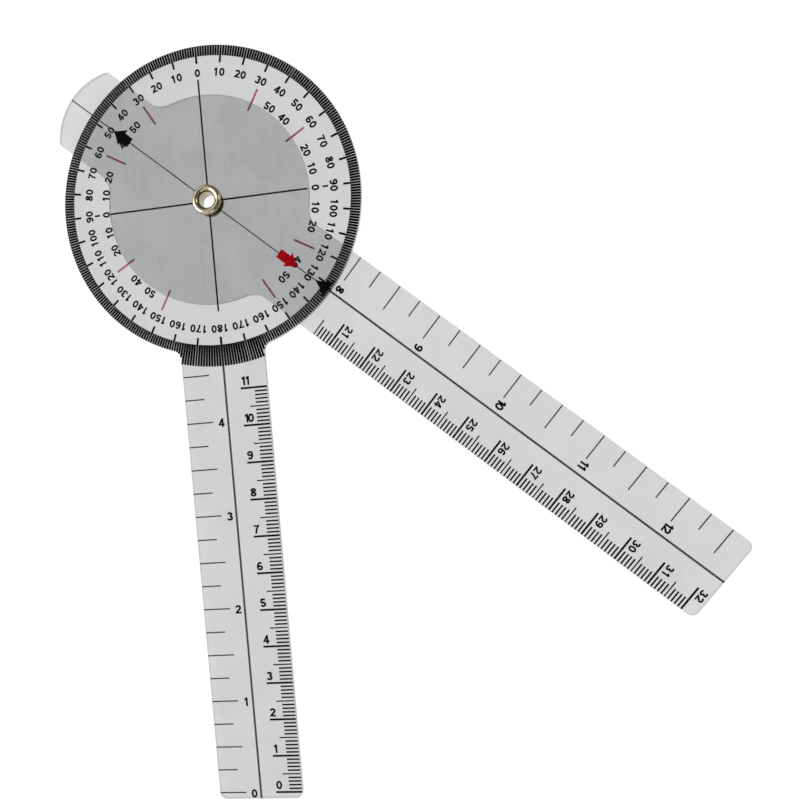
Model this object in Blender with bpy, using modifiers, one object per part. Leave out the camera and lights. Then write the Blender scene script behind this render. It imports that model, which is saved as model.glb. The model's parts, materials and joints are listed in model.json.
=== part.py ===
"""A two-arm goniometer: a dial plate with a fixed arm, a swinging arm, and the hollow
eyelet that pins them together.

Both plates are cut from clear sheet. The dial plate is a full-circle protractor with a
ruler arm running along -Y. The swinging plate lies on top of it: a smaller round hub, a
ruler arm, and opposite the arm a short tab that points back across the dial. A brass
eyelet passes through both plates and is set over a dished washer underneath.

Sizes are in metres, +Z is up, towards the side that is read. The pivot axis is vertical.
The whole part is placed so that the origin is the bottom centre of its bounding box.
"""

import math

import bmesh
import bpy
import numpy as np
from mathutils import Vector

MM = 0.001

# ---------------------------------------------------------------- driving dimensions
PLATE_THICKNESS = 1.2 * MM
PLATE_EDGE_BREAK = 0.12 * MM        # rounding of every sheared edge
ARM_WIDTH = 23.2 * MM               # both ruler arms, and the tab
ARM_CORNER_RADIUS = 2.0 * MM

DIAL_RADIUS = 41.0 * MM
DIAL_ARM_REACH = 162.2 * MM         # pivot axis to the free end of the dial arm
NECK_FILLET_RADIUS = 2.5 * MM       # where the dial meets its arm

HUB_RADIUS = 27.5 * MM
HUB_FILLET_RADIUS = 5.5 * MM        # where the hub meets the arm and the tab
SWING_ARM_REACH = 163.3 * MM        # pivot axis to the free end of the swinging arm
TAB_REACH = 47.3 * MM               # pivot axis to the crown of the tab
TAB_CROWN_RADIUS = 18.0 * MM
TAB_CORNER_RADIUS = 1.2 * MM
REST_ANGLE = math.radians(48.3)     # swinging arm away from the dial arm

EYELET_BORE = 4.1 * MM              # diameter of the hole through the eyelet
EYELET_WALL = 0.4 * MM
HEAD_OVERHANG = 1.55 * MM           # rolled head beyond the barrel, on the radius
HEAD_HEIGHT = 0.85 * MM
MOUTH_FLARE = 1.1 * MM              # bore out to the crest of the head, on the radius
MOUTH_DEPTH = 1.15 * MM             # crest down to where the bore runs straight
CURL_OVERHANG = 0.45 * MM           # end of the barrel, set outward over the washer
CURL_HEIGHT = 0.35 * MM
CURL_RECESS = 0.1 * MM              # how far the curl stays inside the washer's dish

WASHER_LAND = 0.55 * MM             # flat ring outside the dish, on the radius
WASHER_THICKNESS = 0.9 * MM
WASHER_EDGE_BREAK = 0.12 * MM

LAYER_GAP = 0.25 * MM               # between neighbouring faces in the stack
RUNNING_CLEARANCE = 0.08 * MM       # barrel to each plate's hole, on the radius
DISH_CLEARANCE = 0.2 * MM           # curl to the dish around it

ARC_STEP = math.radians(1.5)        # longest facet on the large rounds
CORNER_STEP = math.radians(10.0)    # longest facet on corners and fillets
HOLE_SEGMENTS = 60
TURNED_STEPS = 60
WELD_DISTANCE = 0.001 * MM

# ---------------------------------------------------------------- worked-out sizes
ARM_HALF_WIDTH = ARM_WIDTH / 2
BORE_RADIUS = EYELET_BORE / 2
BARREL_RADIUS = BORE_RADIUS + EYELET_WALL
PLATE_HOLE_RADIUS = BARREL_RADIUS + RUNNING_CLEARANCE

DIAL_PLATE_BOTTOM = WASHER_THICKNESS + LAYER_GAP
SWING_PLATE_BOTTOM = DIAL_PLATE_BOTTOM + PLATE_THICKNESS + LAYER_GAP
HEAD_BOTTOM = SWING_PLATE_BOTTOM + PLATE_THICKNESS + LAYER_GAP
HEAD_TOP = HEAD_BOTTOM + HEAD_HEIGHT
HEAD_RADIUS = BARREL_RADIUS + HEAD_OVERHANG
CREST_RADIUS = BORE_RADIUS + MOUTH_FLARE
CURL_RADIUS = BARREL_RADIUS + CURL_OVERHANG
DISH_RADIUS = CURL_RADIUS + DISH_CLEARANCE
WASHER_RADIUS = DISH_RADIUS + WASHER_LAND
DISH_DEPTH = CURL_RECESS + CURL_HEIGHT + DISH_CLEARANCE


# ---------------------------------------------------------------- scene and materials
def clear_scene():
    for thing in list(bpy.data.objects):
        bpy.data.objects.remove(thing, do_unlink=True)


def make_collection(name):
    collection = bpy.data.collections.new(name)
    bpy.context.scene.collection.children.link(collection)
    return collection


def principled(name, colour, roughness, metallic=0.0, alpha=1.0):
    material = bpy.data.materials.new(name)
    material.use_nodes = True
    shader = material.node_tree.nodes["Principled BSDF"]
    shader.inputs["Base Color"].default_value = (*colour, 1.0)
    shader.inputs["Roughness"].default_value = roughness
    shader.inputs["Metallic"].default_value = metallic
    shader.inputs["Alpha"].default_value = alpha
    return material


# ---------------------------------------------------------------- outline arithmetic
def arc(centre, radius, start, end, step):
    """Points round a circle from one angle to the other, both ends included."""
    count = max(1, math.ceil(abs(end - start) / step - 1e-9))
    angles = np.linspace(start, end, count + 1)
    x = centre[0] + radius * np.cos(angles)
    y = centre[1] + radius * np.sin(angles)
    return np.column_stack((x, y))


def shoulder(disc_radius, fillet_radius):
    """Centre of the fillet between a disc at the origin and the arm's side above it,
    and the direction from the disc's centre to the point where they touch."""
    x = ARM_HALF_WIDTH + fillet_radius
    y = math.sqrt((disc_radius + fillet_radius) ** 2 - x ** 2)
    return (x, y), math.atan2(y, x)


def lower_half(reach, disc_radius, fillet_radius):
    """Right side of a plate, from the middle of the arm's end up to the disc."""
    corner_centre = (ARM_HALF_WIDTH - ARM_CORNER_RADIUS, -reach + ARM_CORNER_RADIUS)
    corner = arc(corner_centre, ARM_CORNER_RADIUS, -math.pi / 2, 0.0, CORNER_STEP)
    centre, touch = shoulder(disc_radius, fillet_radius)
    fillet_centre = (centre[0], -centre[1])
    fillet = arc(fillet_centre, fillet_radius, math.pi, math.pi - touch, CORNER_STEP)
    return np.vstack((corner, fillet)), touch


def mirrored(right_side):
    """Closes an outline with the mirror image of its right side, counter-clockwise."""
    left_side = right_side[::-1] * np.array((-1.0, 1.0))
    keep = np.abs(left_side[:, 0]) > WELD_DISTANCE
    return np.vstack((right_side, left_side[keep]))


def dial_outline():
    """A disc with one filleted arm along -Y."""
    right_side, touch = lower_half(DIAL_ARM_REACH, DIAL_RADIUS, NECK_FILLET_RADIUS)
    disc = arc((0.0, 0.0), DIAL_RADIUS, -touch, math.pi / 2, ARC_STEP)[1:]
    return mirrored(np.vstack((right_side, disc)))


def swing_outline():
    """A smaller disc with an arm along -Y and a crowned tab along +Y."""
    right_side, touch = lower_half(SWING_ARM_REACH, HUB_RADIUS, HUB_FILLET_RADIUS)
    disc = arc((0.0, 0.0), HUB_RADIUS, -touch, touch, ARC_STEP)[1:]
    centre, touch = shoulder(HUB_RADIUS, HUB_FILLET_RADIUS)
    fillet = arc(centre, HUB_FILLET_RADIUS, math.pi + touch, math.pi, CORNER_STEP)[1:]

    crown_y = TAB_REACH - TAB_CROWN_RADIUS
    corner_x = ARM_HALF_WIDTH - TAB_CORNER_RADIUS
    corner_rise = math.sqrt((TAB_CROWN_RADIUS - TAB_CORNER_RADIUS) ** 2 - corner_x ** 2)
    turn = math.atan2(corner_rise, corner_x)
    corner_centre = (corner_x, crown_y + corner_rise)
    corner = arc(corner_centre, TAB_CORNER_RADIUS, 0.0, turn, CORNER_STEP)
    crown = arc((0.0, crown_y), TAB_CROWN_RADIUS, turn, math.pi / 2, ARC_STEP)[1:]
    return mirrored(np.vstack((right_side, disc, fillet, corner, crown)))


# ---------------------------------------------------------------- pieces
def add_loop(curve, points):
    spline = curve.splines.new("POLY")
    spline.points.add(len(points) - 1)
    flat = np.column_stack((points, np.zeros(len(points)), np.ones(len(points))))
    spline.points.foreach_set("co", flat.ravel())
    spline.use_cyclic_u = True


def sheet_plate(name, outline, bottom, material, collection):
    """A plate cut from sheet: an outline and the pivot hole, with its edges broken."""
    curve = bpy.data.curves.new(name, "CURVE")
    curve.dimensions = "2D"
    curve.fill_mode = "BOTH"
    curve.bevel_depth = PLATE_EDGE_BREAK
    curve.bevel_resolution = 1
    curve.offset = -PLATE_EDGE_BREAK
    curve.extrude = PLATE_THICKNESS / 2 - PLATE_EDGE_BREAK
    add_loop(curve, outline)
    turn = 2 * math.pi / HOLE_SEGMENTS
    hole = arc((0.0, 0.0), PLATE_HOLE_RADIUS, 0.0, -2 * math.pi, turn)[:-1]
    add_loop(curve, hole)

    flat = bpy.data.objects.new(name + "_outline", curve)
    collection.objects.link(flat)
    bpy.context.view_layer.update()
    evaluated = flat.evaluated_get(bpy.context.evaluated_depsgraph_get())
    mesh = bpy.data.meshes.new_from_object(evaluated)
    bpy.data.objects.remove(flat, do_unlink=True)

    welded = bmesh.new()
    welded.from_mesh(mesh)
    bmesh.ops.remove_doubles(welded, verts=welded.verts, dist=WELD_DISTANCE)
    bmesh.ops.recalc_face_normals(welded, faces=welded.faces)
    welded.to_mesh(mesh)
    welded.free()

    mesh.name = name
    mesh.shade_smooth()
    mesh.set_sharp_from_angle(angle=math.radians(50.0))
    plate = bpy.data.objects.new(name, mesh)
    plate.location.z = bottom + PLATE_THICKNESS / 2
    plate.data.materials.append(material)
    collection.objects.link(plate)
    return plate


def turned_piece(name, profile, material, collection):
    """A ring turned about Z from a closed profile of (radius, height) points, which
    runs down its outer side and up its inner side."""
    count = len(profile)
    points = [(radius, 0.0, height) for radius, height in profile]
    edges = [(index, (index + 1) % count) for index in range(count)]
    mesh = bpy.data.meshes.new(name)
    mesh.from_pydata(points, edges, [])
    ring = bpy.data.objects.new(name, mesh)
    ring.data.materials.append(material)
    collection.objects.link(ring)

    screw = ring.modifiers.new("turn", "SCREW")
    screw.axis = "Z"
    screw.angle = 2 * math.pi
    screw.steps = TURNED_STEPS
    screw.render_steps = TURNED_STEPS
    screw.use_merge_vertices = True
    screw.merge_threshold = WELD_DISTANCE
    screw.use_smooth_shade = True
    return ring


def ellipse_quarter(centre, half_width, half_height, start, end, count):
    """Points round part of an ellipse, for the rolled edges of the eyelet."""
    angles = np.linspace(start, end, count + 1)
    x = centre[0] + half_width * np.cos(angles)
    y = centre[1] + half_height * np.sin(angles)
    return np.column_stack((x, y))


def eyelet_profile():
    """Rolled head, straight barrel and set curl, from the crest down the outside."""
    curl_half = CURL_HEIGHT / 2
    curl_middle = CURL_RECESS + curl_half
    right_angle = math.pi / 2

    roll = ellipse_quarter((CREST_RADIUS, HEAD_BOTTOM), HEAD_RADIUS - CREST_RADIUS,
                           HEAD_HEIGHT, right_angle, 0.0, 6)
    under_head = np.array([(BARREL_RADIUS, HEAD_BOTTOM)])
    root = np.array([(BARREL_RADIUS, CURL_RECESS + CURL_HEIGHT)])
    curl = ellipse_quarter((CURL_RADIUS - curl_half, curl_middle), curl_half, curl_half,
                           right_angle, -right_angle, 5)
    lip = np.array([(BORE_RADIUS + EYELET_WALL / 2, CURL_RECESS),
                    (BORE_RADIUS, CURL_RECESS + EYELET_WALL / 2)])
    mouth = ellipse_quarter((CREST_RADIUS, HEAD_TOP - MOUTH_DEPTH), MOUTH_FLARE,
                            MOUTH_DEPTH, math.pi, right_angle, 6)[:-1]
    return np.vstack((roll, under_head, root, curl, lip, mouth))


def washer_profile():
    """A flat ring with a dish on its underside that takes the curl."""
    inner = BARREL_RADIUS + RUNNING_CLEARANCE
    edge = WASHER_EDGE_BREAK
    return np.array([
        (WASHER_RADIUS - edge, WASHER_THICKNESS),
        (WASHER_RADIUS, WASHER_THICKNESS - edge),
        (WASHER_RADIUS, edge),
        (WASHER_RADIUS - edge, 0.0),
        (DISH_RADIUS, 0.0),
        (DISH_RADIUS, DISH_DEPTH),
        (inner, DISH_DEPTH),
        (inner, WASHER_THICKNESS),
    ])


# ---------------------------------------------------------------- assembly
def bounding_box(pieces):
    """Lowest and highest corner of the evaluated pieces, in world space."""
    bpy.context.view_layer.update()
    depsgraph = bpy.context.evaluated_depsgraph_get()
    corners = []
    for piece in pieces:
        evaluated = piece.evaluated_get(depsgraph)
        mesh = evaluated.to_mesh()
        local = np.empty(len(mesh.vertices) * 3)
        mesh.vertices.foreach_get("co", local)
        evaluated.to_mesh_clear()
        matrix = np.array(piece.matrix_world)
        world = local.reshape(-1, 3) @ matrix[:3, :3].T + matrix[:3, 3]
        corners.append(world.min(axis=0))
        corners.append(world.max(axis=0))
    stacked = np.array(corners)
    return stacked.min(axis=0), stacked.max(axis=0)


def add_empty(name, collection, parent=None):
    empty = bpy.data.objects.new(name, None)
    empty.empty_display_size = 10 * MM
    empty.parent = parent
    collection.objects.link(empty)
    return empty


def build_goniometer():
    clear_scene()
    collection = make_collection("goniometer")
    dial_plastic = principled("dial_plastic", (0.78, 0.79, 0.81), 0.22, alpha=0.4)
    arm_plastic = principled("arm_plastic", (0.79, 0.80, 0.79), 0.22, alpha=0.4)
    brass = principled("eyelet_brass", (0.83, 0.70, 0.42), 0.16, metallic=1.0)
    washer_brass = principled("washer_brass", (0.80, 0.67, 0.40), 0.25, metallic=1.0)

    frame = add_empty("goniometer_frame", collection)
    pivot = add_empty("pivot_axis", collection, frame)
    pivot.rotation_euler.z = REST_ANGLE

    dial_arm = sheet_plate("dial_arm", dial_outline(), DIAL_PLATE_BOTTOM, dial_plastic,
                           collection)
    moving_arm = sheet_plate("moving_arm", swing_outline(), SWING_PLATE_BOTTOM,
                             arm_plastic, collection)
    eyelet = turned_piece("eyelet", eyelet_profile(), brass, collection)
    washer = turned_piece("eyelet_washer", washer_profile(), washer_brass, collection)
    washer.data.shade_flat()
    washer.modifiers["turn"].use_smooth_shade = False

    for fixed in (dial_arm, eyelet, washer):
        fixed.parent = frame
    moving_arm.parent = pivot

    low, high = bounding_box((dial_arm, moving_arm, eyelet, washer))
    centre = (low + high) / 2
    frame.location = Vector((-centre[0], -centre[1], -low[2]))
    bpy.context.view_layer.update()


build_goniometer()
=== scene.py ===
# %% [markdown]
# # A clear plastic goniometer: how it looks
#
# A goniometer measures the angle of a joint. A printed dial with a fixed arm lies under a
# second arm, and a brass eyelet through both is their hinge. The solid plates, the eyelet and
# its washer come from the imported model, which is a fixed frame: nothing here moves them.
# This script adds what the eye sees first, which is the print, the clear plastic and the brass.

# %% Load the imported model
import json
import math

import bpy
import numpy as np
from mathutils import Matrix, Quaternion, Vector


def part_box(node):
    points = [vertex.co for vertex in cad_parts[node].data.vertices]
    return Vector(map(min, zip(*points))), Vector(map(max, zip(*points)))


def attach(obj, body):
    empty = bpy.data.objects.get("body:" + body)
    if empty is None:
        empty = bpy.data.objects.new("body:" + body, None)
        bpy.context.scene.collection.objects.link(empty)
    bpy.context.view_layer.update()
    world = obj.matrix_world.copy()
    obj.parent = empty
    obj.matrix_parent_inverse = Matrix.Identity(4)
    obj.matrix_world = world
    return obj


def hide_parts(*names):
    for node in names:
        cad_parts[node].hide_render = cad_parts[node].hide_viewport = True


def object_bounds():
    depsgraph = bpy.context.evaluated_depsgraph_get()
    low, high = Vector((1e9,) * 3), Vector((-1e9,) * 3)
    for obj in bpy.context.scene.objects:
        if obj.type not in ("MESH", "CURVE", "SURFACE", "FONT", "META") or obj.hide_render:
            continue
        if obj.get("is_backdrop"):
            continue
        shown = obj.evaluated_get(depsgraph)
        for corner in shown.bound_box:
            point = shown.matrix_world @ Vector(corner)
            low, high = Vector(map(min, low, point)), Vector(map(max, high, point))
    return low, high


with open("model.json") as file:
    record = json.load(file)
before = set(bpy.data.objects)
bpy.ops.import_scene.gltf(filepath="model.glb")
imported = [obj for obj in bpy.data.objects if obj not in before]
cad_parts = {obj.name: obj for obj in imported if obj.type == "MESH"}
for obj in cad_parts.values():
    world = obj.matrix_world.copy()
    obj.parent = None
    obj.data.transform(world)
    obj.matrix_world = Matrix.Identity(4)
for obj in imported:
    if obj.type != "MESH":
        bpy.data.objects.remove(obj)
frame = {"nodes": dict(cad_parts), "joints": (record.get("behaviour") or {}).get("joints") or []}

MM = 0.001
CAD_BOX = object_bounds()
print("packed nodes:", sorted(frame["nodes"]))
print("model box in mm:", [[round(v / MM, 2) for v in corner] for corner in CAD_BOX])

# %% [markdown]
# ## Where the print goes
#
# Everything printed is laid out from the hinge, as on the draughtsman's sheet: millimetres, x to
# the right and y towards the dial's 0. The hinge comes from the record. The heights come from
# the plates' own tops. The moving arm is drawn straight down the sheet like the fixed one, then
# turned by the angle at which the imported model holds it, and that angle is measured on its mesh.

# %% Hinge, plate tops and the moving arm's angle
def node_points(name):
    """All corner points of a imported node, in millimetres."""
    mesh = frame["nodes"][name].data
    points = np.empty(len(mesh.vertices) * 3, np.float32)
    mesh.vertices.foreach_get("co", points)
    return points.reshape(-1, 3).astype(float) / MM


HINGE = np.array(frame["joints"][0]["pos_m"][:2]) / MM
DIAL_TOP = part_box("dial_arm")[1].z / MM
SWING_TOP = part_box("moving_arm")[1].z / MM

from_hinge = node_points("moving_arm")[:, :2] - HINGE
far_end = from_hinge[np.linalg.norm(from_hinge, axis=1) > 150].mean(axis=0)
SWING_TURN = math.atan2(far_end[0], -far_end[1])

# body: (height of the printed face, turn of the drawing)
PRINTED_FACES = {"dial": (DIAL_TOP, 0.0), "swing": (SWING_TOP, SWING_TURN)}
print("hinge at", HINGE.round(2), "printed faces at", round(DIAL_TOP, 3), round(SWING_TOP, 3))
print("moving arm turned by", round(math.degrees(SWING_TURN), 2), "degrees")


def laid_on(points, body):
    """Drawing points (n, 3) in millimetres, turned about the hinge and moved to it, in metres."""
    turn = PRINTED_FACES[body][1]
    cosine, sine = math.cos(turn), math.sin(turn)
    x, y = points[:, 0], points[:, 1]
    placed = np.stack([HINGE[0] + x * cosine - y * sine,
                       HINGE[1] + x * sine + y * cosine, points[:, 2]], axis=1)
    return placed * MM


# %% [markdown]
# ## Effects that several finishes share
#
# A shader node group works like a small part of its own: it has named inputs and outputs, it is
# made once, and each finish sets its own values on it. These groups give only numbers that
# change over the surface. The shader itself stays in the material, so the finish can be read
# in one place.

# %% Helpers for nodes
def make_group(name, inputs, outputs):
    """An empty shader group. inputs is {name: default}, outputs a list of names, all numbers."""
    group = bpy.data.node_groups.new(name, "ShaderNodeTree")
    for label, default in inputs.items():
        socket = group.interface.new_socket(label, in_out="INPUT", socket_type="NodeSocketFloat")
        socket.default_value = default
    for label in outputs:
        group.interface.new_socket(label, in_out="OUTPUT", socket_type="NodeSocketFloat")
    return group, group.nodes.new("NodeGroupInput"), group.nodes.new("NodeGroupOutput")


def add_node(tree, kind, settings=(), **sockets):
    """A node with its settings, and a value or another node's socket on each named input."""
    node = tree.nodes.new(kind)
    for label, value in dict(settings).items():
        setattr(node, label, value)
    for label, value in sockets.items():
        socket = node.inputs[int(label[1:])] if label[1:].isdigit() else node.inputs[label]
        if isinstance(value, bpy.types.NodeSocket):
            tree.links.new(value, socket)
        else:
            socket.default_value = value
    return node


def arithmetic(tree, operation, first, second=0.0):
    """The result socket of one Math node."""
    node = add_node(tree, "ShaderNodeMath", {"operation": operation}, _0=first, _1=second)
    return node.outputs[0]


def remapped(tree, value, low, high, to_low=0.0, to_high=1.0):
    """value between low and high becomes to_low to to_high, and stays inside them."""
    node = add_node(tree, "ShaderNodeMapRange", {"interpolation_type": "SMOOTHSTEP"}, Value=value)
    for label, number in zip(("From Min", "From Max", "To Min", "To Max"),
                             (low, high, to_low, to_high)):
        node.inputs[label].default_value = number
    return node.outputs["Result"]


def mixed_colour(tree, share, first, second):
    """The colour socket of one Mix node: first where share is 0, second where it is 1. Each is a
    colour of three numbers or another node's socket."""
    ends = [end if isinstance(end, bpy.types.NodeSocket) else (*end, 1.0)
            for end in (first, second)]
    node = add_node(tree, "ShaderNodeMix", {"data_type": "RGBA"}, _0=share, _6=ends[0],
                    _7=ends[1])
    return node.outputs[2]


def surface_noise(tree, coordinates, scale, detail, stretch=(1.0, 1.0, 1.0), turn=0.0):
    """Noise from 0 to 1 on the piece's own coordinates, stretched and turned by a Mapping."""
    mapping = add_node(tree, "ShaderNodeMapping", Vector=coordinates, Scale=stretch,
                       Rotation=(0.0, 0.0, turn))
    noise = add_node(tree, "ShaderNodeTexNoise", Vector=mapping.outputs[0], Scale=scale,
                     Detail=detail)
    return noise.outputs[0]


# %% Helpers for finishes
def new_finish(name):
    """A material, its node tree and the Principled shader in it."""
    material = bpy.data.materials.new(name)
    material.use_nodes = True
    return material, material.node_tree, material.node_tree.nodes["Principled BSDF"]


def add_bump(tree, shader, height, strength, distance):
    """Small relief on a finish: a height socket through a Bump node to the shader's Normal."""
    bump = add_node(tree, "ShaderNodeBump", Height=height, Strength=strength, Distance=distance)
    tree.links.new(bump.outputs[0], shader.inputs["Normal"])


def dress_node(node_name, material):
    """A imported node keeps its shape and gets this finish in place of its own."""
    slots = frame["nodes"][node_name].data.materials
    slots.clear()
    slots.append(material)
    print(node_name, "is", material.name)


# %% [markdown]
# Rolled sheet is never quite even. Haze is two noises of different size added together, which
# looks like slow clouds with a little texture in them. Ink and brass use it too, much finer.

# %% Haze: slow clouds in rolled sheet plastic
FINE_WEIGHT = 0.33           # weight of the finer noise beside the clouds
HAZE_RANGE = (0.42, 0.92)    # the sum at which haze starts, and at which it is full


def haze_group():
    """Two noises added: clouds about a centimetre across, and finer ones at a third weight."""
    group, given, result = make_group("sheet_haze", {"Cloud Scale": 90.0, "Fine Scale": 420.0},
                                      ["Haze"])
    own = group.nodes.new("ShaderNodeTexCoord").outputs["Object"]
    clouds = surface_noise(group, own, given.outputs["Cloud Scale"], 3.0)
    fine = surface_noise(group, own, given.outputs["Fine Scale"], 2.0)
    fine_part = arithmetic(group, "MULTIPLY", fine, FINE_WEIGHT)
    total = arithmetic(group, "ADD", clouds, fine_part)
    group.links.new(remapped(group, total, *HAZE_RANGE), result.inputs["Haze"])
    return group


HAZE = haze_group()
print("group", HAZE.name, "made")

# %% [markdown]
# A much used clear plate has hairline scratches and a little dust. Noise drawn out thirty or forty
# times makes streaks, and keeping only its highest crests leaves a few thin lines. Dust is one
# small round speck in a few of the cells of a Voronoi pattern.

# %% Hairline scratches and dust
STREAK_SETS = ((0.5, (1.0, 0.03, 1.0)), (-0.9, (0.8, 0.02, 1.0)))    # turn and stretch of each
CREST_GAIN = 14.0            # how steeply noise above the rarity becomes a scratch
SPECK_RARITY = 0.86          # cells whose random number is above this hold a speck


def scratch_group():
    """Noise drawn out into long thin streaks two ways; only its highest crests are scratches."""
    group, given, result = make_group("hairline_scratches", {"Fineness": 900.0, "Rarity": 0.66},
                                      ["Scratch"])
    own = group.nodes.new("ShaderNodeTexCoord").outputs["Object"]
    crests = []
    for turn, stretch in STREAK_SETS:
        streaks = surface_noise(group, own, given.outputs["Fineness"], 1.0, stretch, turn)
        above = arithmetic(group, "SUBTRACT", streaks, given.outputs["Rarity"])
        crests.append(arithmetic(group, "MULTIPLY", above, CREST_GAIN))
    highest = arithmetic(group, "MAXIMUM", crests[0], crests[1])
    group.links.new(remapped(group, highest, 0.0, 1.0), result.inputs["Scratch"])
    return group


def dust_group():
    """A speck sits near the middle of a few Voronoi cells, chosen by the cells' own colour."""
    group, given, result = make_group("dust_specks", {"Cell Scale": 260.0, "Speck Size": 0.1},
                                      ["Dust"])
    own = group.nodes.new("ShaderNodeTexCoord").outputs["Object"]
    cells = add_node(group, "ShaderNodeTexVoronoi", Vector=own, Scale=given.outputs["Cell Scale"])
    near = arithmetic(group, "LESS_THAN", cells.outputs["Distance"], given.outputs["Speck Size"])
    chosen = add_node(group, "ShaderNodeSeparateColor", Color=cells.outputs["Color"]).outputs[0]
    few = arithmetic(group, "GREATER_THAN", chosen, SPECK_RARITY)
    group.links.new(arithmetic(group, "MULTIPLY", near, few), result.inputs["Dust"])
    return group


SCRATCHES = scratch_group()
DUST = dust_group()
print("groups", SCRATCHES.name, "and", DUST.name, "made")


# %% [markdown]
# ## Clear sheet plastic
#
# The arms are die-cut from clear vinyl sheet about a millimetre thick. It holds back a little over
# a third of the light, so one sheet over white paper is pale grey and two are mid grey. Glass
# shading would bend the light truly, but in a flat sheet on a table that hardly shows. A plain
# surface that lets most light through by Alpha is quicker, has no noise, and keeps the print
# under the upper sheet crisp. Light passes both faces of a sheet, so each keeps back about half.
# The rim is painted darker and less clear than the faces: painted shade for the dark line that
# light bent in a cut edge gives, which this shading does not bend.
#
# At a low view a glossy sheet mirrors its surroundings and hides what lies under it. A Fresnel
# node adds that cover, on front faces only: on a back face it would take every slanting view for
# a full mirror and turn the plate dark.

# %% The clear finish for both plates
DIAL_FACE_ALPHA = 0.220      # share of light each face of the dial's sheet keeps back
ARM_FACE_ALPHA = 0.201       # the moving arm's sheet is a little clearer
HAZE_COVER = 0.008           # haze moves that share up or down by this much
MARK_COVER = 0.012           # a scratch or speck adds this much
# The rim's cover and dark tint below are painted shade for the light a cut edge bends.
RIM_ALPHA = 0.74             # cut edge that faces the viewer
RIM_BACK_ALPHA = 0.38        # the same edge seen from inside the sheet
RIM_PAINTED_SHADE = (0.12, 0.125, 0.13)
RIM_SLOPES = (0.35, 0.85)    # upright part of the normal: rim below the first, face past the second
SHEET_IOR = 1.5
SHEET_SPECULAR = 0.3
SHEET_ROUGHNESS = (0.16, 0.5)    # clean, and on a scratch or speck
GLOSS_FROM = 0.06            # Fresnel value from which gloss starts to cover
GLOSS_COVER = 0.6            # how much it covers at a grazing view
SHEET_BUMP = (0.02, 0.0002)  # strength, and distance in metres


def clear_plastic(name, pale, deep, face_alpha):
    """Clear sheet: haze shifts its tint and cover, scratches and dust roughen it, and the rim is
    told from the faces by how upright the normal is and painted with shade."""
    material, tree, shader = new_finish(name)
    haze = add_node(tree, "ShaderNodeGroup", {"node_tree": HAZE}).outputs["Haze"]
    scratch = add_node(tree, "ShaderNodeGroup", {"node_tree": SCRATCHES}).outputs["Scratch"]
    dust = add_node(tree, "ShaderNodeGroup", {"node_tree": DUST}).outputs["Dust"]
    marks = arithmetic(tree, "MAXIMUM", scratch, dust)
    tree.links.new(remapped(tree, marks, 0.0, 1.0, *SHEET_ROUGHNESS), shader.inputs["Roughness"])

    facing = add_node(tree, "ShaderNodeTexCoord").outputs["Normal"]
    upright = add_node(tree, "ShaderNodeSeparateXYZ", Vector=facing).outputs["Z"]
    flatness = arithmetic(tree, "ABSOLUTE", upright)
    rim = remapped(tree, flatness, *RIM_SLOPES, 1.0, 0.0)
    tint = mixed_colour(tree, haze, pale, deep)
    # painted shade: the rim's tint is mixed towards a dark grey
    tree.links.new(mixed_colour(tree, rim, tint, RIM_PAINTED_SHADE), shader.inputs["Base Color"])

    face_cover = remapped(tree, haze, 0.0, 1.0, face_alpha - HAZE_COVER, face_alpha + HAZE_COVER)
    marked = arithmetic(tree, "MULTIPLY", marks, MARK_COVER)
    face_cover = arithmetic(tree, "ADD", face_cover, marked)
    behind = add_node(tree, "ShaderNodeNewGeometry").outputs["Backfacing"]
    in_front = arithmetic(tree, "SUBTRACT", 1.0, behind)
    gloss = add_node(tree, "ShaderNodeFresnel", IOR=SHEET_IOR).outputs[0]
    gloss_cover = remapped(tree, gloss, GLOSS_FROM, 1.0, 0.0, GLOSS_COVER)
    gloss_cover = arithmetic(tree, "MULTIPLY", gloss_cover, in_front)
    face_cover = arithmetic(tree, "ADD", face_cover, gloss_cover)
    rim_cover = remapped(tree, behind, 0.0, 1.0, RIM_ALPHA, RIM_BACK_ALPHA)
    cover = add_node(tree, "ShaderNodeMix", {"data_type": "FLOAT"}, _0=rim, _2=face_cover,
                     _3=rim_cover).outputs[0]
    tree.links.new(cover, shader.inputs["Alpha"])

    add_bump(tree, shader, haze, *SHEET_BUMP)
    shader.inputs["IOR"].default_value = SHEET_IOR
    shader.inputs["Specular IOR Level"].default_value = SHEET_SPECULAR
    return material


DIAL_PLASTIC = clear_plastic("clear_dial_sheet", (0.034, 0.044, 0.066), (0.024, 0.040, 0.052),
                             DIAL_FACE_ALPHA)
ARM_PLASTIC = clear_plastic("clear_arm_sheet", (0.022, 0.034, 0.026), (0.016, 0.029, 0.024),
                            ARM_FACE_ALPHA)
dress_node("dial_arm", DIAL_PLASTIC)
dress_node("moving_arm", ARM_PLASTIC)

# %% [markdown]
# ## Screen-printed ink
#
# The marks are pressed through a fine mesh, so ink stands on the plastic as a very thin film with
# a satin face and small changes of tone. The film could be painted into the plate's own colour,
# but then its edges would depend on the plate's triangles. Thin closed slabs of ink stay sharp at
# any distance, and they can be counted, moved and coloured on their own.

# %% Black and red ink
INK_THICKNESS = 0.03         # millimetres
INK_KEY = 0.01               # how far the film's foot sits in the plastic, so no faces coincide
INK_NOISE = {"Cloud Scale": 700.0, "Fine Scale": 5000.0}
INK_ROUGHNESS = (0.5, 0.7)
INK_SPECULAR = 0.02
INK_BUMP = (0.2, 0.00002)    # strength, and distance in metres
THIN_COAT, SHEER_COAT = 0.78, 0.72


def fine_haze(tree, scales):
    """The haze group's output, at noise scales of this finish's own."""
    haze = add_node(tree, "ShaderNodeGroup", {"node_tree": HAZE})
    for label, scale in scales.items():
        haze.inputs[label].default_value = scale
    return haze.outputs["Haze"]


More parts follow.
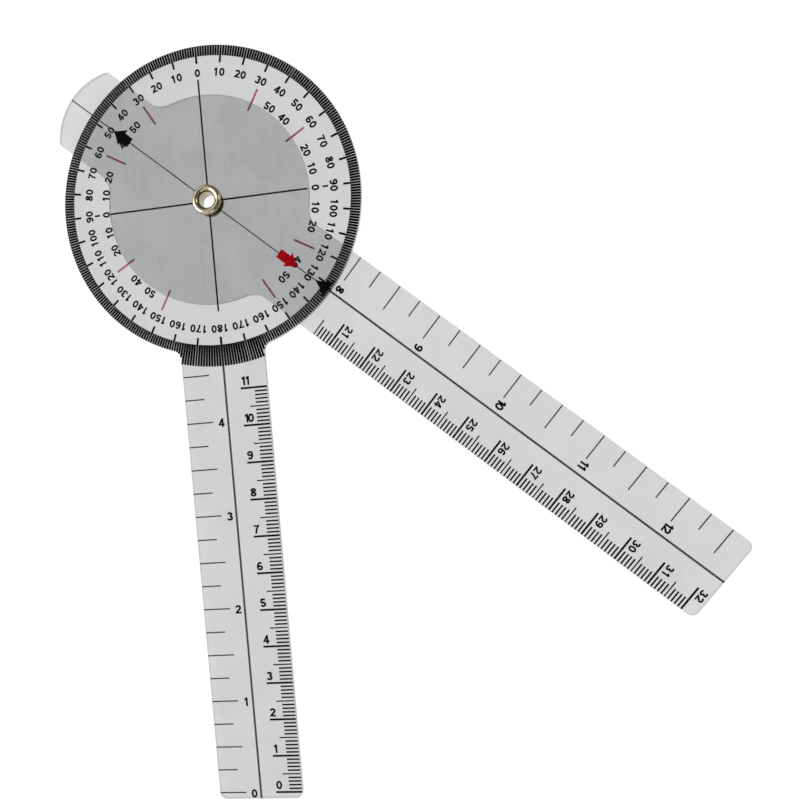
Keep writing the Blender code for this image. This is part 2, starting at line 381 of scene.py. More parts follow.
def ink(name, dark, light, cover=1.0):
    """Satin ink: fine noise moves its colour between two tones, and scratches lighten it. A thin
    coat covers only partly, so some of the light from below comes through."""
    material, tree, shader = new_finish(name)
    haze = fine_haze(tree, INK_NOISE)
    scratch = add_node(tree, "ShaderNodeGroup", {"node_tree": SCRATCHES}).outputs["Scratch"]
    tone = arithmetic(tree, "MAXIMUM", haze, scratch)
    tree.links.new(mixed_colour(tree, tone, dark, light), shader.inputs["Base Color"])
    tree.links.new(remapped(tree, haze, 0.0, 1.0, *INK_ROUGHNESS), shader.inputs["Roughness"])
    add_bump(tree, shader, haze, *INK_BUMP)
    shader.inputs["Specular IOR Level"].default_value = INK_SPECULAR
    shader.inputs["Alpha"].default_value = cover
    return material


BLACK = ink("black_ink", (0.0015, 0.0015, 0.002), (0.005, 0.005, 0.006))
GREY = ink("fine_line_ink", (0.010, 0.010, 0.011), (0.024, 0.024, 0.026), SHEER_COAT)
RED = ink("red_ink", (0.30, 0.001, 0.004), (0.42, 0.004, 0.010))
PINK = ink("pale_red_ink", (0.46, 0.080, 0.150), (0.58, 0.120, 0.210), THIN_COAT)


# %% [markdown]
# ## From flat outlines to ink
#
# Nearly every mark is a bar or a small shape with a few straight sides. One helper turns a whole
# table of outlines into closed prisms at once: the same corners at two heights, joined by side
# walls. Numpy makes all corners of all marks as one array, which is faster to run and shorter to
# read than adding marks one by one.

# %% Bars, prisms and pieces
def bars(starts, ends, widths):
    """Straight bars (n, 4, 2): each corner is an end point plus or minus half the width, along
    the bar's left-hand normal."""
    starts, ends = np.broadcast_arrays(np.atleast_2d(starts), np.atleast_2d(ends))
    along = ends - starts
    along = along / np.linalg.norm(along, axis=1, keepdims=True)
    half = (np.broadcast_to(widths, len(starts)) / 2)[:, None]
    aside = np.stack([-along[:, 1], along[:, 0]], axis=1) * half
    return np.stack([starts - aside, ends - aside, ends + aside, starts + aside], axis=1)


def prisms(outlines, face_height):
    """Closed prisms on outlines (n, k, 2) that run anticlockwise: k corners at the foot, the
    same k at the top, and a wall over each side."""
    count, corners, _ = outlines.shape
    flat = outlines.reshape(-1, 2)
    foot = np.column_stack([flat, np.full(len(flat), face_height - INK_KEY)])
    head = np.column_stack([flat, np.full(len(flat), face_height + INK_THICKNESS)])
    here = np.arange(count)[:, None] * corners + np.arange(corners)
    after = np.arange(count)[:, None] * corners + (np.arange(corners) + 1) % corners
    lift = count * corners
    walls = np.stack([here, after, after + lift, here + lift], axis=-1).reshape(-1, 4)
    faces = here[:, ::-1].tolist() + (here + lift).tolist() + walls.tolist()
    return np.concatenate([foot, head]), faces


def joined(solids):
    """Several (points, faces) as one, with each one's face numbers moved past those before."""
    points = np.concatenate([solid[0] for solid in solids])
    faces, start = [], 0
    for solid_points, solid_faces in solids:
        faces += [[corner + start for corner in face] for face in solid_faces]
        start += len(solid_points)
    return points, faces


def add_piece(name, points, faces, body, material):
    """A mesh object that rides on a body; points are in metres and already in place."""
    mesh = bpy.data.meshes.new(name)
    mesh.from_pydata(points.tolist(), [], faces)
    mesh.materials.append(material)
    mesh.validate()
    mesh.update()
    piece = bpy.data.objects.new(name, mesh)
    bpy.context.scene.collection.objects.link(piece)
    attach(piece, body)
    print(f"{name}: {len(mesh.vertices)} points, {len(mesh.polygons)} faces on {body}")
    return piece


def add_print(name, solids, body, material=BLACK):
    """Ink on a body's printed face, from solids drawn in millimetres about the hinge."""
    points, faces = joined(solids)
    return add_piece(name, laid_on(points, body), faces, body, material)


# %% [markdown]
# ## The ring of degrees
#
# The dial's rim carries one bar for each degree, wide enough to read as a dark band. Every tenth
# bar reaches further in. Where the fixed arm joins the dial, the bars run on over the joint to a
# wider arc, and beside it they follow the rounded corner of the plate, so each bar's outer end
# is worked out from the plate's outline: the smallest of the rim, the corner and the wider arc.

# %% Degree bars
RIM_RADIUS = 41.0            # of the dial plate, in millimetres like all that follows
ARM_HALF = 11.6              # half the width of an arm
NECK_CORNER = 2.5            # radius of the rounded corner where arm and dial meet
RIM_INSET = 0.13             # bars stop this far short of the plate's edge
NECK_ARC = 43.95             # where the bars over the joint end
RING_INSIDE = 38.2           # inner ends of the degree bars, the tens and the 180 bar
TEN_INSIDE = 36.35
HALF_TURN_INSIDE = 36.1
DEGREE_WIDTH = 0.60          # at the rim; wider over the joint, as the spokes spread
TEN_WIDTH = 0.56
HALF_TURN_WIDTH = 0.64


def plate_reach(from_arm):
    """How far the plate goes from the hinge, at angles (radians) from the fixed arm's line: the
    rim, or near the arm the first crossing with the corner's circle, or the arm's side."""
    sine, cosine = np.abs(np.sin(from_arm)), np.cos(from_arm)
    corner_x = ARM_HALF + NECK_CORNER
    corner_y = math.sqrt((RIM_RADIUS + NECK_CORNER) ** 2 - corner_x ** 2)
    along = sine * corner_x + cosine * corner_y
    inside = along ** 2 - corner_x ** 2 - corner_y ** 2 + NECK_CORNER ** 2
    to_corner = along - np.sqrt(np.maximum(inside, 0.0))
    to_side = ARM_HALF / np.maximum(sine, 1e-6)
    crosses = (inside > 0) & (cosine > 0)
    tangent_angle = math.atan2(corner_x, corner_y)
    reach = np.full_like(from_arm, RIM_RADIUS)
    reach = np.where(crosses & (np.abs(from_arm) < tangent_angle), to_corner, reach)
    neck = (np.abs(from_arm) < tangent_angle) & ~crosses
    return np.where(neck, to_side, reach)


def radial_bars(readings, inside, outside, width):
    """Bars along spokes. Readings are degrees clockwise from the top, so a spoke's direction is
    (sine, cosine) of its reading."""
    angles = np.radians(np.asarray(readings, float))
    spokes = np.stack([np.sin(angles), np.cos(angles)], axis=1)
    inside = np.broadcast_to(inside, len(spokes))[:, None]
    outside = np.broadcast_to(outside, len(spokes))[:, None]
    return bars(spokes * inside, spokes * outside, width)


degrees = np.arange(-179, 180)
outer_ends = np.minimum(plate_reach(np.radians(180 - np.abs(degrees))) - RIM_INSET, NECK_ARC)
tens = degrees % 10 == 0
degree_widths = DEGREE_WIDTH * outer_ends / (RIM_RADIUS - RIM_INSET)
degree_bars = radial_bars(degrees[~tens], RING_INSIDE, outer_ends[~tens], degree_widths[~tens])
ten_bars = radial_bars(degrees[tens], TEN_INSIDE, outer_ends[tens], TEN_WIDTH)
half_turn_bar = radial_bars([180], HALF_TURN_INSIDE, NECK_ARC, HALF_TURN_WIDTH)
add_print("dial_degree_ring", [prisms(marks, DIAL_TOP)
                               for marks in (degree_bars, ten_bars, half_turn_bar)], "dial")

# %% [markdown]
# ## Lines through the hinge
#
# A cross on the dial marks the 0, 90 and 180 directions, and a hairline runs down the middle of
# each arm. Printed over the hole they would be cut by the punch, so each line is two bars that
# start outside the hole. The moving arm's line also stops at each pointer, where two films of ink
# would lie at one height. The arms' lines have a thinner coat than the figures and look grey.

# %% Cross and hairlines
HOLE_CLEAR = 2.9             # lines start this far from the hinge
CROSS_WIDTH = 0.46
CROSS_DOWN, CROSS_UP = 29.3, 32.2
CROSS_LEFT, CROSS_RIGHT = 27.8, 26.9
HAIRLINE = 0.31              # width of the moving arm's line over the dial
ARM_LINE = 0.56              # width of the line along each arm
TAB_ARROW = (32.15, 29.1, 29.2, 26.6)    # tip, barbs, shoulders and tail, from the hinge
RED_ARROW = (30.2, 27.1, 27.3, 24.2)
TRIANGLE = (36.3, 38.2, 40.6)            # point, bend and base


def line_pair(direction, near_end, far_end, width):
    """Two bars on one line through the hinge, from the hole out to near_end behind and to
    far_end ahead."""
    direction = np.array(direction, float)
    starts = np.array([-direction * HOLE_CLEAR, direction * HOLE_CLEAR])
    ends = np.array([-direction * near_end, direction * far_end])
    return bars(starts, ends, width)


cross = [line_pair((0, 1), CROSS_DOWN, CROSS_UP, CROSS_WIDTH),
         line_pair((1, 0), CROSS_LEFT, CROSS_RIGHT, CROSS_WIDTH)]
add_print("dial_cross_lines", [prisms(lines, DIAL_TOP) for lines in cross], "dial")

dial_end = (HINGE[1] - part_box("dial_arm")[0].y / MM) - RIM_INSET
fixed_line = bars((0, -NECK_ARC), (0, -dial_end), ARM_LINE)
add_print("dial_arm_hairline", [prisms(fixed_line, DIAL_TOP)], "dial", GREY)

swing_reach = -(from_hinge @ (-far_end / np.linalg.norm(far_end)))
swing_end, tab_end = swing_reach.max() - RIM_INSET, -swing_reach.min() - RIM_INSET
line_parts = [(TAB_ARROW[0], tab_end, HAIRLINE), (HOLE_CLEAR, TAB_ARROW[-1], HAIRLINE),
              (-HOLE_CLEAR, -RED_ARROW[-1], HAIRLINE), (-RED_ARROW[0], -TRIANGLE[0], HAIRLINE),
              (-TRIANGLE[-1], -swing_end, ARM_LINE)]
swing_line = np.concatenate([bars((0, near), (0, far), width) for near, far, width in line_parts])
add_print("moving_arm_hairline", [prisms(swing_line, SWING_TOP)], "swing", GREY)
print("arms end at", round(dial_end, 2), round(swing_end, 2), "tab at", round(tab_end, 2))

# %% [markdown]
# ## Red marks on the dial
#
# Eight short red spokes mark 30, 60, 120 and 150 degrees either way, beside the inner figures.
# Their ink is a thin coat, so the light sheet under it makes them pink.

# %% Red spokes
RED_INSIDE, RED_OUTSIDE = 25.6, 31.6
RED_WIDTH = 0.54
red_readings = [side * reading for side in (-1, 1) for reading in (30, 60, 120, 150)]
red_spokes = radial_bars(red_readings, RED_INSIDE, RED_OUTSIDE, RED_WIDTH)
add_print("dial_red_marks", [prisms(red_spokes, DIAL_TOP)], "dial", PINK)

# %% [markdown]
# ## Pointers on the moving arm
#
# The moving arm reads the dial three ways: a black triangle at the ring, a red arrow inside it,
# and on the tab side a black arrow for the inner figures. Each is one outline with few corners.
# The sloping edges bend in a little on the way, and one extra corner on each side shows that
# well enough at this size.

# %% Arrows and triangle
POINT_HALF = 0.02            # a point is this narrow, not zero, so that its faces stay sound
BEND_HALF = 0.45             # an arrow's half width at the bend, as a share of the barbs'
BEND_RISE = 0.12             # how far above half way from barb to tip the bend is
TRIANGLE_BEND, TRIANGLE_HALF = 0.85, 2.4     # half widths at the triangle's bend and base


def both_sides(right_side):
    """A closed outline from its right side, listed from the tip down; the left side mirrors it."""
    right_side = np.array(right_side, float)
    left_side = right_side[::-1] * (-1, 1)
    return np.concatenate([left_side, right_side])[None, ::-1]


def arrow(tip, barb, shoulder, tail, barb_half, shaft_half):
    """An arrow that points along +y: tip, barbs swept back, and a short wide shaft."""
    bend = (barb_half * BEND_HALF, (tip + barb) / 2 + BEND_RISE)
    return both_sides([(POINT_HALF, tip), bend, (barb_half, barb), (shaft_half, shoulder),
                       (shaft_half, tail)])


tab_arrow = arrow(*TAB_ARROW, barb_half=2.4, shaft_half=1.3)
red_arrow = arrow(*RED_ARROW, barb_half=2.2, shaft_half=1.25)
halves = (POINT_HALF, TRIANGLE_BEND, TRIANGLE_HALF)
triangle = both_sides([(half, -from_centre) for half, from_centre in zip(halves, TRIANGLE)])
add_print("moving_arm_black_pointers", [prisms(tab_arrow, SWING_TOP), prisms(triangle, SWING_TOP)],
          "swing")
half_turned = -red_arrow     # both coordinates negated is half a turn about the hinge
add_print("moving_arm_red_arrow", [prisms(half_turned, SWING_TOP)], "swing", RED)

# %% [markdown]
# ## Rulers on both arms
#
# One side of each arm is in inches, by quarters, and the other in centimetres, by millimetres.
# A scale is a row of bars with one end on the arm's edge and lengths that follow a simple rule,
# so one function draws them all from a list of places and a list of lengths.

# %% Ruler bars
EDGE = ARM_HALF - RIM_INSET
INCH = 25.4
INCH_BAR = 0.36                           # width of its bars
CENTIMETRE_BARS = (0.54, 0.34, 0.44)      # widths: whole centimetres, halves, millimetres


def ruler(edge_x, inner_x, heights, widths):
    """Bars across an arm, from its edge at edge_x in to inner_x, at the given heights."""
    heights = np.asarray(heights, float)
    starts = np.stack([np.full(len(heights), edge_x), heights], axis=1)
    ends = np.stack([np.broadcast_to(inner_x, len(heights)), heights], axis=1)
    return bars(starts, ends, widths)


def inch_ruler(edge_x, long_x, short_x, quarters, heights):
    """Halves and wholes are long, odd quarters short."""
    return ruler(edge_x, np.where(quarters % 2 == 0, long_x, short_x), heights, INCH_BAR)


def centimetre_ruler(edge_x, long_x, middle_x, short_x, tenths, heights):
    """Whole centimetres are long and thick, halves middling and thin, millimetres short."""
    kinds = [tenths % 10 == 0, tenths % 10 == 5]
    inner = np.select(kinds, [long_x, middle_x], short_x)
    widths = np.select(kinds, CENTIMETRE_BARS[:2], CENTIMETRE_BARS[2])
    return ruler(edge_x, inner, heights, widths)


ZERO_AT = -160.4             # both of the fixed arm's scales start near its free end
dial_quarters = np.arange(0, 19)
dial_inches = inch_ruler(-EDGE, long_x=-4.18, short_x=-6.1, quarters=dial_quarters,
                         heights=ZERO_AT + dial_quarters * INCH / 4)
dial_tenths = np.arange(0, 111)
dial_centimetres = centimetre_ruler(EDGE, long_x=4.23, middle_x=6.5, short_x=8.0,
                                    tenths=dial_tenths, heights=ZERO_AT + dial_tenths)
add_print("dial_arm_inch_ruler", [prisms(dial_inches, DIAL_TOP)], "dial", GREY)
add_print("dial_arm_centimetre_ruler", [prisms(dial_centimetres, DIAL_TOP)], "dial")

SWING_ZERO = 160.6           # the moving arm's scales go on from the fixed arm's, past the dial
swing_quarters = np.arange(32, 51)
swing_inches = inch_ruler(EDGE, long_x=4.25, short_x=6.65, quarters=swing_quarters,
                          heights=SWING_ZERO - swing_quarters * INCH / 4)
swing_tenths = np.arange(205, 321)
swing_centimetres = centimetre_ruler(-EDGE, long_x=-4.7, middle_x=-6.9, short_x=-8.4,
                                     tenths=swing_tenths, heights=SWING_ZERO - swing_tenths)
add_print("moving_arm_inch_ruler", [prisms(swing_inches, SWING_TOP)], "swing", GREY)
add_print("moving_arm_centimetre_ruler", [prisms(swing_centimetres, SWING_TOP)], "swing")

# %% [markdown]
# ## Figures
#
# The numbers are plain upright figures in one even stroke. A font could set them, but a font's
# shapes come with many points, and its 1 may lack the flag that these have. Each figure here is
# one or two pen strokes on a sheet one unit high, and a stroke is a small rectangle carried
# along a path: a closed ribbon with square ends. Ten figures are drawn once and stamped
# wherever a number needs them.

# %% Strokes for the ten figures
STROKE = 0.225               # pen width, as a share of the figure's height
FIGURE_WIDTH = 0.71
PEN = STROKE / 2
MITRE_LIMIT = 0.6            # at sharper bends a stroke's corners are pushed out no further


def bow(centre_x, centre_y, half_width, half_height, first, last, count):
    """Points on an ellipse from angle first to last, in degrees, anticlockwise if last is more."""
    angles = np.radians(np.linspace(first, last, count))
    return np.stack([centre_x + half_width * np.cos(angles),
                     centre_y + half_height * np.sin(angles)], axis=1)


def path(*parts):
    """Points and arcs one after another as a single path."""
    return np.concatenate([np.atleast_2d(np.array(part, float)) for part in parts])


def loop(centre_x, centre_y, half_width, half_height, count=16):
    """A whole ellipse, without its last point, because a closed stroke returns to its first."""
    return bow(centre_x, centre_y, half_width, half_height, 0, 360, count + 1)[:-1]


MID = FIGURE_WIDTH / 2
WIDE = MID - PEN
FIGURES = {
    "0": [(loop(MID, 0.5, WIDE, 0.5 - PEN, 18), True)],
    "1": [(path((0.40, 0.0), (0.40, 1.0)), False),
          (path((0.13, 0.755), (0.27, 0.79), (0.36, 0.90), (0.39, 0.97)), False)],
    "2": [(path(bow(MID, 0.68, WIDE, 0.32 - PEN, 170, -40, 9), (0.20, 0.21),
                (PEN + 0.01, PEN), (FIGURE_WIDTH, PEN)), False)],
    "3": [(bow(MID - 0.02, 0.73, WIDE - 0.02, 0.27 - PEN, 165, -90, 9), False),
          (bow(MID - 0.02, 0.30, WIDE + 0.02, 0.30 - PEN, 90, -165, 9), False)],
    "4": [(path((0.47, 0.0), (0.47, 1.0)), False),
          (path((FIGURE_WIDTH, 0.30), (0.09, 0.30), (0.43, 0.90)), False)],
    "5": [(path((0.61, 1 - PEN), (0.18, 1 - PEN), (0.12, 0.50)), False),
          (bow(MID, 0.325, WIDE, 0.325 - PEN, 140, -165, 10), False)],
    "6": [(loop(MID, 0.31, WIDE, 0.31 - PEN), True),
          (bow(MID + 0.02, 0.5, WIDE + 0.02, 0.5 - PEN, 45, 200, 9), False)],
    "7": [(path((0.03, 1 - PEN), (0.60, 1 - PEN), (0.42, 0.66), (0.31, 0.36), (0.27, 0.0)),
           False)],
    "8": [(loop(MID, 0.745, WIDE - 0.03, 0.255 - PEN, 14), True),
          (loop(MID, 0.285, WIDE, 0.285 - PEN, 16), True)],
}
FIGURES["9"] = [((FIGURE_WIDTH, 1.0) - points, closed) for points, closed in FIGURES["6"]]


def ribbon(points, closed, width, foot, head):
    """A rectangle carried along a flat path. At each point the two sides lie half a width off,
    along the mean normal, pushed out at bends so that the stroke keeps its width."""
    ahead = np.roll(points, -1, axis=0) - points
    ahead /= np.linalg.norm(ahead, axis=1, keepdims=True)
    behind = np.roll(ahead, 1, axis=0)
    if not closed:
        ahead[-1], behind[0] = behind[-1], ahead[0]
    mean = ahead + behind
    mean /= np.linalg.norm(mean, axis=1, keepdims=True)
    stretch = 1 / np.maximum((mean * ahead).sum(axis=1), MITRE_LIMIT)
    left = np.stack([-mean[:, 1], mean[:, 0]], axis=1) * (width / 2 * stretch)[:, None]
    corners = [(points - left, foot), (points - left, head),
               (points + left, head), (points + left, foot)]
    section = np.stack([np.column_stack([flat, np.full(len(flat), height)])
                        for flat, height in corners], axis=1)
    steps = np.arange(len(points) if closed else len(points) - 1)[:, None]
    following = (steps + 1) % len(points)
    side = np.arange(4)
    after = (side + 1) % 4
    walls = np.stack([steps * 4 + side, following * 4 + side,
                      following * 4 + after, steps * 4 + after], axis=-1).reshape(-1, 4)
    faces = walls.tolist()
    if not closed:
        faces += [[0, 1, 2, 3], [len(points) * 4 - 1 - corner for corner in range(4)]]
    return section.reshape(-1, 3), faces


# %% [markdown]
# A second stroke of a figure crosses the first, and two faces at one height would flicker, so each
# further stroke is a hair lower than the one before it.

# %% Numbers from figures
STROKE_STEP = 0.002          # millimetres
FIGURE_ADVANCE = 0.78        # from one figure to the next, as a share of the height
TIGHT_ONE = 0.48             # the same after a 1, where the figures are set close


def spaced(text, after_one):
    """Where each figure starts and how wide the number is, as shares of the height."""
    steps = [after_one if figure == "1" else FIGURE_ADVANCE for figure in text[:-1]]
    starts = np.concatenate([[0.0], np.cumsum(steps)])
    return starts, starts[-1] + FIGURE_WIDTH


def number(text, centre, turn, height, face_height, after_one=FIGURE_ADVANCE):
    """The figures of one number, centred on a point, with their tops turned anticlockwise by
    turn (radians) from the top of the sheet."""
    cosine, sine = math.cos(turn), math.sin(turn)
    starts, span = spaced(text, after_one)
    solids = []
    for start, figure in zip(starts, text):
        for order, (points, closed) in enumerate(FIGURES[figure]):
            flat = (points + (start - span / 2, -0.5)) * height
            placed = flat @ np.array([[cosine, sine], [-sine, cosine]]) + centre
            head = face_height + INK_THICKNESS - order * STROKE_STEP
            solids.append(ribbon(placed, closed, STROKE * height, face_height - INK_KEY, head))
    return solids


def dial_numbers(labels, radius, height):
    """Numbers round the dial. labels is {reading clockwise from the top: text}, and each one's
    top faces outward."""
    solids = []
    for reading, text in labels.items():
        angle = math.radians(reading)
        centre = (radius * math.sin(angle), radius * math.cos(angle))
        solids += number(text, centre, -angle, height, DIAL_TOP)
    return solids


# %% [markdown]
# ## The dial's numbers
#
# The outer row reads 0 at the top to 180 at the arm, both ways round. The inner row counts from
# the level line, for readings taken from there, and a short dash beyond each 0 marks that line.

# %% Outer and inner rows
DIAL_FIGURE = 2.1            # height of the figures
OUTER_ROW, INNER_ROW = 33.9, 29.0
DASH_INSIDE, DASH_OUTSIDE, DASH_WIDTH = 30.9, 32.4, 0.48
outer_labels = {side * value: str(value) for value in range(10, 180, 10) for side in (-1, 1)}
outer_labels.update({0: "0", 180: "180"})
inner_labels = {side * reading: str(abs(90 - reading))
                for reading in (40, 50, 70, 80, 90, 100, 110, 130, 140) for side in (-1, 1)}
add_print("dial_outer_numbers", dial_numbers(outer_labels, OUTER_ROW, DIAL_FIGURE), "dial")
add_print("dial_inner_numbers", dial_numbers(inner_labels, INNER_ROW, DIAL_FIGURE), "dial")
level_dashes = bars([(DASH_INSIDE, 0), (-DASH_INSIDE, 0)],
                    [(DASH_OUTSIDE, 0), (-DASH_OUTSIDE, 0)], DASH_WIDTH)
add_print("dial_level_dashes", [prisms(level_dashes, DIAL_TOP)], "dial")

# %% [markdown]
# ## The rulers' numbers
#
# On the fixed arm the numbers stand upright when the dial is at the top. On the moving arm they
# stand the other way up, so that they read upright from the free end.

# %% Ruler numbers
RULER_FIGURE = 2.35          # height; the moving arm's centimetres are a little smaller
SMALL_FIGURE = 2.1
FIXED_INCH_X, FIXED_INCH_DROP = -1.85, 0.3           # centre, and how far below its bar
FIXED_CENTIMETRE_X, FIXED_CENTIMETRE_RISE = 4.4, 1.95    # left side, and how far above its bar
SWING_INCH_X, SWING_INCH_DROP = {1: 1.75, 2: 2.5}, 0.5   # centre for one figure and for two
SWING_CENTIMETRE_X, SWING_CENTIMETRE_DROP = -6.0, 1.9

fixed_inches, fixed_centimetres, swing_inch_numbers, swing_centimetre_numbers = [], [], [], []
for value in range(5):
    centre = (FIXED_INCH_X, ZERO_AT + value * INCH - FIXED_INCH_DROP)
    fixed_inches += number(str(value), centre, 0.0, RULER_FIGURE, DIAL_TOP)
for value in range(12):
    span = spaced(str(value), TIGHT_ONE)[1] * RULER_FIGURE
    centre = (FIXED_CENTIMETRE_X + span / 2, ZERO_AT + value * 10 + FIXED_CENTIMETRE_RISE)
    fixed_centimetres += number(str(value), centre, 0.0, RULER_FIGURE, DIAL_TOP, TIGHT_ONE)
for value in range(8, 13):
    text = str(value)
    centre = (SWING_INCH_X[len(text)], SWING_ZERO - value * INCH - SWING_INCH_DROP)
    swing_inch_numbers += number(text, centre, math.pi, RULER_FIGURE, SWING_TOP, TIGHT_ONE)
for value in range(21, 33):
    centre = (SWING_CENTIMETRE_X, SWING_ZERO - value * 10 - SWING_CENTIMETRE_DROP)
    swing_centimetre_numbers += number(str(value), centre, math.pi, SMALL_FIGURE, SWING_TOP)
add_print("dial_arm_inch_numbers", fixed_inches, "dial")
add_print("dial_arm_centimetre_numbers", fixed_centimetres, "dial")
add_print("moving_arm_inch_numbers", swing_inch_numbers, "swing")
add_print("moving_arm_centimetre_numbers", swing_centimetre_numbers, "swing")

# %% [markdown]
# ## Brass eyelet and washer
#
# The eyelet is a thin brass tube with a rolled head; its other end is curled over a washer under
# the dial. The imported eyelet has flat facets, so a smooth one, made by carrying a finer profile
# round the axis, stands in for it inside the same box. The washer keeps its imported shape.

# %% Turned pieces
TURN_STEPS = 128             # straight steps in one turn, too many to see


def turned(profile):
    """A closed profile (radius, height) carried once round the hinge axis: x and y are the
    radius times cosine and sine. The profile runs so that its left side is outside."""
    profile = np.asarray(profile, float)
    angles = np.arange(TURN_STEPS) * 2 * math.pi / TURN_STEPS
    ring = np.stack([np.cos(angles), np.sin(angles)], axis=1)
    flat = profile[:, None, :1] * ring[None]
    heights = np.broadcast_to(profile[:, None, 1:], (len(profile), TURN_STEPS, 1))
    points = np.concatenate([flat, heights], axis=2).reshape(-1, 3)
    row = np.arange(len(profile))[:, None]
    below = (row + 1) % len(profile)
    column = np.arange(TURN_STEPS)
    beside = (column + 1) % TURN_STEPS
    faces = np.stack([row * TURN_STEPS + column, below * TURN_STEPS + column,
                      below * TURN_STEPS + beside, row * TURN_STEPS + beside], axis=-1)
    return points, faces.reshape(-1, 4).tolist()


EYELET_LOW, EYELET_HIGH = (corner.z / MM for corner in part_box("eyelet"))
HEAD_RADIUS = (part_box("eyelet")[1].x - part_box("eyelet")[0].x) / MM / 2
BORE = 2.05                  # radii and heights in millimetres
BARREL = 2.45
CREST = 3.15                 # radius at which the head is highest
HEAD_HEIGHT = 0.85
HEAD_EDGE = 0.12             # rounding under the head's rim
HEAD_FILLET = 0.1            # slope between head and barrel
MOUTH_DEPTH = 1.15           # how far down the head curves into the bore
CURL_END = 2.9
CURL_HALF = 0.175            # half the curl's height
CURL_GAP = 0.05              # plain barrel between the curl and the washer
LIP = 0.2                    # rounding of the bore's lower edge
head_foot = EYELET_HIGH - HEAD_HEIGHT
curl_top = EYELET_LOW + CURL_HALF * 2 + CURL_GAP
eyelet_profile = np.concatenate([
    bow(CREST, head_foot, HEAD_RADIUS - CREST, HEAD_HEIGHT, 90, 4, 16),
    bow(HEAD_RADIUS - HEAD_EDGE, head_foot + HEAD_EDGE, HEAD_EDGE, HEAD_EDGE, 0, -90, 4),
    [(BARREL + HEAD_FILLET, head_foot), (BARREL, head_foot - HEAD_FILLET), (BARREL, curl_top)],
    bow(CURL_END - CURL_HALF, EYELET_LOW + CURL_HALF, CURL_HALF, CURL_HALF, 90, -90, 9),
    bow(BORE + LIP, EYELET_LOW + LIP, LIP, LIP, -90, -180, 5),
    bow(CREST, EYELET_HIGH - MOUTH_DEPTH, CREST - BORE, MOUTH_DEPTH, 180, 92, 18),
])
print("eyelet profile has", len(eyelet_profile), "points")


# %% [markdown]
# The eyelet is bright with fine scratches, and its washer is stamped and duller. The bore is
# rougher,
# # and its colour is painted darker as painted shade in the hollow: distance from the hinge axis
# # decides where. Both share one recipe, with tones and roughness of their own.

# %% Brass finishes
BORE_SHADE_RADII = (2.15, 2.6)    # the bore is rougher and painted with shade inside the first radius, and plain past the second
# colour of the painted shade in the bore
BORE_SHADE_COLOUR = (0.34, 0.31, 0.22)
BRASS_NOISE = {"Cloud Scale": 500.0, "Fine Scale": 3000.0}
BRASS_FINENESS = 5000.0      # of its scratches
BRASS_BUMP = (0.1, 0.00002)  # strength, and distance in metres


def from_hinge_axis(tree):
    """Distance from the hinge axis: the length of (place - hinge) with its height left out."""
    own = add_node(tree, "ShaderNodeTexCoord").outputs["Object"]
    centred = add_node(tree, "ShaderNodeVectorMath", {"operation": "SUBTRACT"}, _0=own,
                       _1=(HINGE[0] * MM, HINGE[1] * MM, 0.0)).outputs[0]
    flat = add_node(tree, "ShaderNodeVectorMath", {"operation": "MULTIPLY"}, _0=centred,
                    _1=(1.0, 1.0, 0.0)).outputs[0]
    return add_node(tree, "ShaderNodeVectorMath", {"operation": "LENGTH"},
                    _0=flat).outputs["Value"]


def brass(name, pale, deep, rough, polish):
    """Brass: slow tone changes, fine scratches, and a rougher bore with painted shade in it."""
    material, tree, shader = new_finish(name)
    haze = fine_haze(tree, BRASS_NOISE)
    scratches = add_node(tree, "ShaderNodeGroup", {"node_tree": SCRATCHES},
                         Fineness=BRASS_FINENESS).outputs["Scratch"]
    shade_radii = [radius * MM for radius in BORE_SHADE_RADII]
    bore = remapped(tree, from_hinge_axis(tree), *shade_radii, 1.0, 0.0)
    tone = mixed_colour(tree, haze, pale, deep)
    # painted shade: the colour goes darker inside the bore, near the hinge axis
    tree.links.new(mixed_colour(tree, bore, tone, BORE_SHADE_COLOUR), shader.inputs["Base Color"])
    marks = arithmetic(tree, "MAXIMUM", haze, scratches)
    marks = arithmetic(tree, "MAXIMUM", marks, bore)
    tree.links.new(remapped(tree, marks, 0.0, 1.0, polish, rough), shader.inputs["Roughness"])
    add_bump(tree, shader, scratches, *BRASS_BUMP)
    shader.inputs["Metallic"].default_value = 1.0
    return material


EYELET_BRASS = brass("eyelet_brass", (0.74, 0.67, 0.46), (0.58, 0.50, 0.31), 0.20, 0.07)
WASHER_BRASS = brass("washer_brass", (0.90, 0.76, 0.48), (0.74, 0.60, 0.36), 0.50, 0.35)


# %% Eyelet and washer in place
SHARP_FROM = math.radians(40)    # edges that turn by more than this stay crisp


def add_turned(name, profile, material):
    """A turned piece on the hinge, smooth over its round faces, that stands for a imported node."""
    points, faces = turned(profile)
    piece = add_piece(name, laid_on(points, "dial"), faces, "dial", material)
    piece.data.polygons.foreach_set("use_smooth", np.ones(len(piece.data.polygons), bool))
    piece.data.set_sharp_from_angle(angle=SHARP_FROM)
    return piece


eyelet = add_turned("brass_eyelet", eyelet_profile, EYELET_BRASS)
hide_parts("eyelet")

dress_node("eyelet_washer", WASHER_BRASS)

# %% [markdown]
# ## Table, light and camera
#
# Clear plastic needs something pale under it. The table is a broad white sheet that gives light
# of its own, like a viewing table, so the arms are lit from below and throw no shadow on it.

# %% Table
TABLE_HALF = 3.0             # metres
TABLE_DROP = 0.00005         # metres below the object's foot, so that no faces coincide
TABLE_GLOW = 0.96

